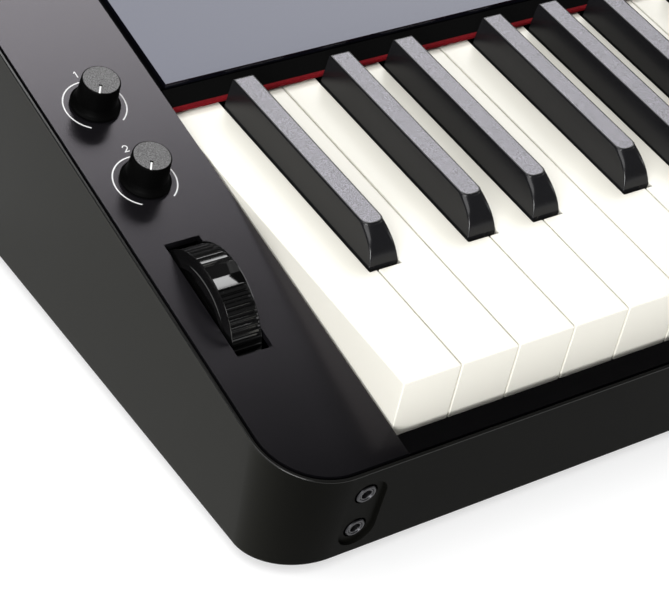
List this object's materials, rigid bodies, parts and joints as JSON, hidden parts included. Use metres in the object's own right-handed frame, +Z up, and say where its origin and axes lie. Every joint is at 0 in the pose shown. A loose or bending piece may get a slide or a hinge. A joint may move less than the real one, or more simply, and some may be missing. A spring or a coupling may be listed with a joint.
{
  "type": "stage synthesizer",
  "caption": "Slim full-range keyboard synthesizer with weighted-look keys, a gloss touch panel, a pitch wheel and knobs on the left cheek, sockets, speakers and feet.",
  "frame": {"origin": "middle of the overall box, on the floor under the feet", "axes": "+X to the player's right along the keys, +Y from the key fronts to the rear, +Z up"},
  "size_m": [1.317, 0.232, 0.0996],
  "materials": {
    "black_key": "grained top",
    "board_green": "solder mask",
    "case_shell": "fine textured",
    "chassis_plastic": "moulded",
    "contact_metal": "plated",
    "contact_rubber": "soft",
    "cover_shell": "fine textured satin",
    "display": "clear",
    "fallboard_gloss": "polished",
    "felt": "brushed felt",
    "knob_black": "grained top",
    "panel_gloss": "polished",
    "pot_body": "laminate",
    "rubber_black": "matte",
    "screw_black": "black oxide",
    "socket_black": "moulded",
    "speaker_black": "paper cone and pressed frame",
    "steel": "bright",
    "stop_felt": "felt",
    "wheel_black": "polished rims",
    "white_key": "satin gloss"
  },
  "bodies": {
    "case": {"bottom_case": "case_shell", "top_cover": "cover_shell", "touch_panel": "panel_gloss", "fallboard": "fallboard_gloss", "key_felt": "felt", "display_module": "display", "panel_board": "board_green", "phones_jacks": "socket_black", "rear_jack_plate": "case_shell", "line_jacks": "socket_black", "usb_ports": "steel", "dc_inlet": "socket_black", "main_board": "board_green", "jack_board": "board_green", "speakers": "speaker_black", "speaker_grilles": "case_shell", "rubber_feet": "rubber_black", "case_screws": "screw_black", "battery_cover": "case_shell", "battery_contacts": "contact_metal", "key_chassis": "chassis_plastic", "key_pivot_shaft": "steel", "key_stop_felts": "stop_felt", "key_springs": "steel", "contact_board": "board_green", "contact_rubber": "contact_rubber", "knob_pots": "pot_body", "wheel_bracket": "steel", "wheel_pot": "pot_body"},
    "key_a0": {"key_a0": "white_key"},
    "key_a_sharp_0": {"key_a_sharp_0": "black_key"},
    "key_b0": {"key_b0": "white_key"},
    "key_c1": {"key_c1": "white_key"},
    "key_c_sharp_1": {"key_c_sharp_1": "black_key"},
    "key_d1": {"key_d1": "white_key"},
    "key_d_sharp_1": {"key_d_sharp_1": "black_key"},
    "key_e1": {"key_e1": "white_key"},
    "key_f1": {"key_f1": "white_key"},
    "key_f_sharp_1": {"key_f_sharp_1": "black_key"},
    "key_g1": {"key_g1": "white_key"},
    "key_g_sharp_1": {"key_g_sharp_1": "black_key"},
    "key_a1": {"key_a1": "white_key"},
    "key_a_sharp_1": {"key_a_sharp_1": "black_key"},
    "white_keys_octave_1": {"white_keys_octave_1": "white_key"},
    "white_keys_octave_2": {"white_keys_octave_2": "white_key"},
    "white_keys_octave_3": {"white_keys_octave_3": "white_key"},
    "white_keys_octave_4": {"white_keys_octave_4": "white_key"},
    "white_keys_octave_5": {"white_keys_octave_5": "white_key"},
    "white_keys_octave_6": {"white_keys_octave_6": "white_key"},
    "black_keys_octave_1": {"black_keys_octave_1": "black_key"},
    "black_keys_octave_2": {"black_keys_octave_2": "black_key"},
    "black_keys_octave_3": {"black_keys_octave_3": "black_key"},
    "black_keys_octave_4": {"black_keys_octave_4": "black_key"},
    "black_keys_octave_5": {"black_keys_octave_5": "black_key"},
    "black_keys_octave_6": {"black_keys_octave_6": "black_key"},
    "knob_1": {"knob_1": "knob_black"},
    "knob_2": {"knob_2": "knob_black"},
    "pitch_wheel": {"pitch_wheel": "wheel_black"},
    "power_button": {"power_button": "knob_black"},
    "volume_knob": {"volume_knob": "knob_black"}
  },
  "joints": [
    {"name": "key_a0_hinge", "type": "hinge", "parent": "case", "child": "key_a0", "pos_m": [0, 0.09255, 0.06727], "axis": [1, 0, 0], "range_deg": [0, 2.85], "stiffness_Nm_per_rad": 2.4, "springref_deg": -2.86},
    {"name": "key_a_sharp_0_hinge", "type": "hinge", "parent": "case", "child": "key_a_sharp_0", "pos_m": [0, 0.09255, 0.06727], "axis": [1, 0, 0], "range_deg": [0, 3.2], "stiffness_Nm_per_rad": 2.4, "springref_deg": -2.86},
    {"name": "key_b0_hinge", "type": "hinge", "parent": "case", "child": "key_b0", "pos_m": [0, 0.09255, 0.06727], "axis": [1, 0, 0], "range_deg": [0, 2.85], "stiffness_Nm_per_rad": 2.4, "springref_deg": -2.86},
    {"name": "key_c1_hinge", "type": "hinge", "parent": "case", "child": "key_c1", "pos_m": [0, 0.09255, 0.06727], "axis": [1, 0, 0], "range_deg": [0, 2.85], "stiffness_Nm_per_rad": 2.4, "springref_deg": -2.86},
    {"name": "key_c_sharp_1_hinge", "type": "hinge", "parent": "case", "child": "key_c_sharp_1", "pos_m": [0, 0.09255, 0.06727], "axis": [1, 0, 0], "range_deg": [0, 3.2], "stiffness_Nm_per_rad": 2.4, "springref_deg": -2.86},
    {"name": "key_d1_hinge", "type": "hinge", "parent": "case", "child": "key_d1", "pos_m": [0, 0.09255, 0.06727], "axis": [1, 0, 0], "range_deg": [0, 2.85], "stiffness_Nm_per_rad": 2.4, "springref_deg": -2.86},
    {"name": "key_d_sharp_1_hinge", "type": "hinge", "parent": "case", "child": "key_d_sharp_1", "pos_m": [0, 0.09255, 0.06727], "axis": [1, 0, 0], "range_deg": [0, 3.2], "stiffness_Nm_per_rad": 2.4, "springref_deg": -2.86},
    {"name": "key_e1_hinge", "type": "hinge", "parent": "case", "child": "key_e1", "pos_m": [0, 0.09255, 0.06727], "axis": [1, 0, 0], "range_deg": [0, 2.85], "stiffness_Nm_per_rad": 2.4, "springref_deg": -2.86},
    {"name": "key_f1_hinge", "type": "hinge", "parent": "case", "child": "key_f1", "pos_m": [0, 0.09255, 0.06727], "axis": [1, 0, 0], "range_deg": [0, 2.85], "stiffness_Nm_per_rad": 2.4, "springref_deg": -2.86},
    {"name": "key_f_sharp_1_hinge", "type": "hinge", "parent": "case", "child": "key_f_sharp_1", "pos_m": [0, 0.09255, 0.06727], "axis": [1, 0, 0], "range_deg": [0, 3.2], "stiffness_Nm_per_rad": 2.4, "springref_deg": -2.86},
    {"name": "key_g1_hinge", "type": "hinge", "parent": "case", "child": "key_g1", "pos_m": [0, 0.09255, 0.06727], "axis": [1, 0, 0], "range_deg": [0, 2.85], "stiffness_Nm_per_rad": 2.4, "springref_deg": -2.86},
    {"name": "key_g_sharp_1_hinge", "type": "hinge", "parent": "case", "child": "key_g_sharp_1", "pos_m": [0, 0.09255, 0.06727], "axis": [1, 0, 0], "range_deg": [0, 3.2], "stiffness_Nm_per_rad": 2.4, "springref_deg": -2.86},
    {"name": "key_a1_hinge", "type": "hinge", "parent": "case", "child": "key_a1", "pos_m": [0, 0.09255, 0.06727], "axis": [1, 0, 0], "range_deg": [0, 2.85], "stiffness_Nm_per_rad": 2.4, "springref_deg": -2.86},
    {"name": "key_a_sharp_1_hinge", "type": "hinge", "parent": "case", "child": "key_a_sharp_1", "pos_m": [0, 0.09255, 0.06727], "axis": [1, 0, 0], "range_deg": [0, 3.2], "stiffness_Nm_per_rad": 2.4, "springref_deg": -2.86},
    {"name": "white_keys_octave_1_hinge", "type": "hinge", "parent": "case", "child": "white_keys_octave_1", "pos_m": [0, 0.09255, 0.06727], "axis": [1, 0, 0], "range_deg": [0, 2.85], "stiffness_Nm_per_rad": 16.8, "springref_deg": -2.86},
    {"name": "white_keys_octave_2_hinge", "type": "hinge", "parent": "case", "child": "white_keys_octave_2", "pos_m": [0, 0.09255, 0.06727], "axis": [1, 0, 0], "range_deg": [0, 2.85], "stiffness_Nm_per_rad": 16.8, "springref_deg": -2.86},
    {"name": "white_keys_octave_3_hinge", "type": "hinge", "parent": "case", "child": "white_keys_octave_3", "pos_m": [0, 0.09255, 0.06727], "axis": [1, 0, 0], "range_deg": [0, 2.85], "stiffness_Nm_per_rad": 16.8, "springref_deg": -2.86},
    {"name": "white_keys_octave_4_hinge", "type": "hinge", "parent": "case", "child": "white_keys_octave_4", "pos_m": [0, 0.09255, 0.06727], "axis": [1, 0, 0], "range_deg": [0, 2.85], "stiffness_Nm_per_rad": 16.8, "springref_deg": -2.86},
    {"name": "white_keys_octave_5_hinge", "type": "hinge", "parent": "case", "child": "white_keys_octave_5", "pos_m": [0, 0.09255, 0.06727], "axis": [1, 0, 0], "range_deg": [0, 2.85], "stiffness_Nm_per_rad": 16.8, "springref_deg": -2.86},
    {"name": "white_keys_octave_6_hinge", "type": "hinge", "parent": "case", "child": "white_keys_octave_6", "pos_m": [0, 0.09255, 0.06727], "axis": [1, 0, 0], "range_deg": [0, 2.85], "stiffness_Nm_per_rad": 21.6, "springref_deg": -2.86},
    {"name": "black_keys_octave_1_hinge", "type": "hinge", "parent": "case", "child": "black_keys_octave_1", "pos_m": [0, 0.09255, 0.06727], "axis": [1, 0, 0], "range_deg": [0, 3.2], "stiffness_Nm_per_rad": 12, "springref_deg": -2.86},
    {"name": "black_keys_octave_2_hinge", "type": "hinge", "parent": "case", "child": "black_keys_octave_2", "pos_m": [0, 0.09255, 0.06727], "axis": [1, 0, 0], "range_deg": [0, 3.2], "stiffness_Nm_per_rad": 12, "springref_deg": -2.86},
    {"name": "black_keys_octave_3_hinge", "type": "hinge", "parent": "case", "child": "black_keys_octave_3", "pos_m": [0, 0.09255, 0.06727], "axis": [1, 0, 0], "range_deg": [0, 3.2], "stiffness_Nm_per_rad": 12, "springref_deg": -2.86},
    {"name": "black_keys_octave_4_hinge", "type": "hinge", "parent": "case", "child": "black_keys_octave_4", "pos_m": [0, 0.09255, 0.06727], "axis": [1, 0, 0], "range_deg": [0, 3.2], "stiffness_Nm_per_rad": 12, "springref_deg": -2.86},
    {"name": "black_keys_octave_5_hinge", "type": "hinge", "parent": "case", "child": "black_keys_octave_5", "pos_m": [0, 0.09255, 0.06727], "axis": [1, 0, 0], "range_deg": [0, 3.2], "stiffness_Nm_per_rad": 12, "springref_deg": -2.86},
    {"name": "black_keys_octave_6_hinge", "type": "hinge", "parent": "case", "child": "black_keys_octave_6", "pos_m": [0, 0.09255, 0.06727], "axis": [1, 0, 0], "range_deg": [0, 3.2], "stiffness_Nm_per_rad": 12, "springref_deg": -2.86},
    {"name": "knob_1_turn", "type": "hinge", "parent": "case", "child": "knob_1", "pos_m": [-0.6377, 0.0503, 0.08105], "axis": [0, -0.2062, 0.9785], "range_deg": [-293, 0]},
    {"name": "knob_2_turn", "type": "hinge", "parent": "case", "child": "knob_2", "pos_m": [-0.6377, 0.0143, 0.07346], "axis": [0, -0.2062, 0.9785], "range_deg": [-293, 0]},
    {"name": "volume_knob_turn", "type": "hinge", "parent": "case", "child": "volume_knob", "pos_m": [-0.349, 0.0763, 0.08652], "axis": [0, -0.2062, 0.9785], "range_deg": [-150, 150]},
    {"name": "pitch_wheel_turn", "type": "hinge", "parent": "case", "child": "pitch_wheel", "pos_m": [-0.6388, -0.033, 0.04949], "axis": [1, 0, 0], "range_deg": [-30, 30], "stiffness_Nm_per_rad": 0.12},
    {"name": "power_button_push", "type": "slide", "parent": "case", "child": "power_button", "axis": [0, 0.2062, -0.9785], "range_m": [0, 0.0009], "stiffness_N_per_m": 400, "springref_m": -0.0004}
  ]
}
